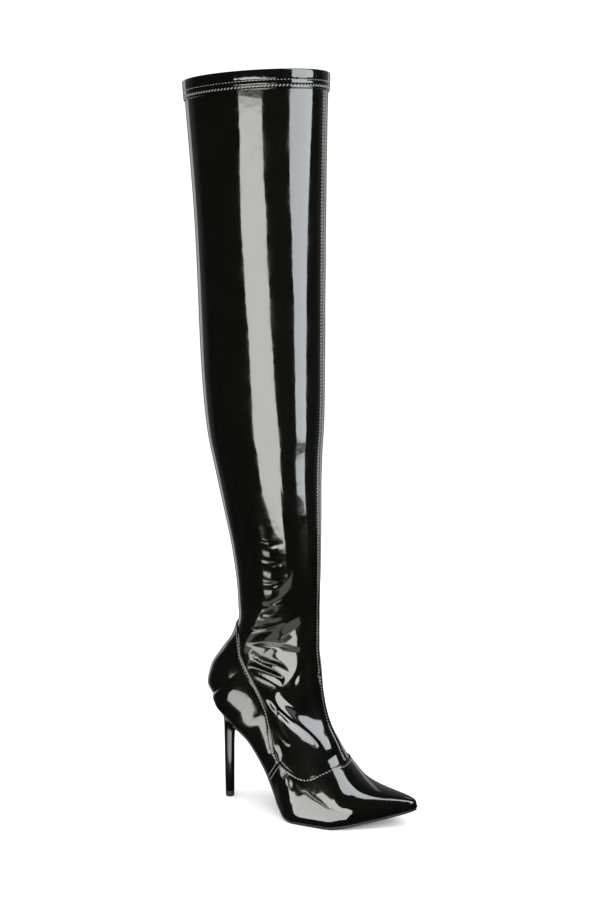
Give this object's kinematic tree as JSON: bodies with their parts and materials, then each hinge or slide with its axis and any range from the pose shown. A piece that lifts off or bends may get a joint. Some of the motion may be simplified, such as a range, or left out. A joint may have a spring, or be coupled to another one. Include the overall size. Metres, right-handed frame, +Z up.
{
  "type": "thigh high boot",
  "caption": "Pointed boot of stretch patent that reaches up the thigh, on a stiletto heel, with a turned hem, a raised front seam and a zip on the inner side of the ankle.",
  "frame": {"origin": "middle of the heel tip's ground face, on the floor", "axes": "+Z up, +X level towards the toe, +Y towards the inner side of the foot"},
  "size_m": [0.2371, 0.1174, 0.7181],
  "materials": {
    "black_patent": "high gloss patent",
    "heel_black": "high gloss",
    "sole_black": "satin",
    "insole_fabric": "matte",
    "heel_tip_rubber": "matte",
    "zip_tape_black": "matte",
    "zip_metal_black": "gloss black"
  },
  "bodies": {
    "boot": {"upper": "black_patent", "vamp": "black_patent", "counter": "black_patent", "cuff": "black_patent", "front_seam": "black_patent", "insole": "insole_fabric", "outsole": "sole_black", "heel": "heel_black", "heel_tip": "heel_tip_rubber", "zip_tape": "zip_tape_black", "zip_coil": "zip_tape_black", "zip_slider": "zip_metal_black"},
    "zip_pull": {"zip_pull": "zip_metal_black"}
  },
  "joints": [
    {"name": "zip_pull_hinge", "type": "hinge", "parent": "boot", "child": "zip_pull", "pos_m": [0.05482, 0.05001, 0.31452], "axis": [0.9926, -0.1207, 0.0114], "range_deg": [-5, 140]}
  ]
}
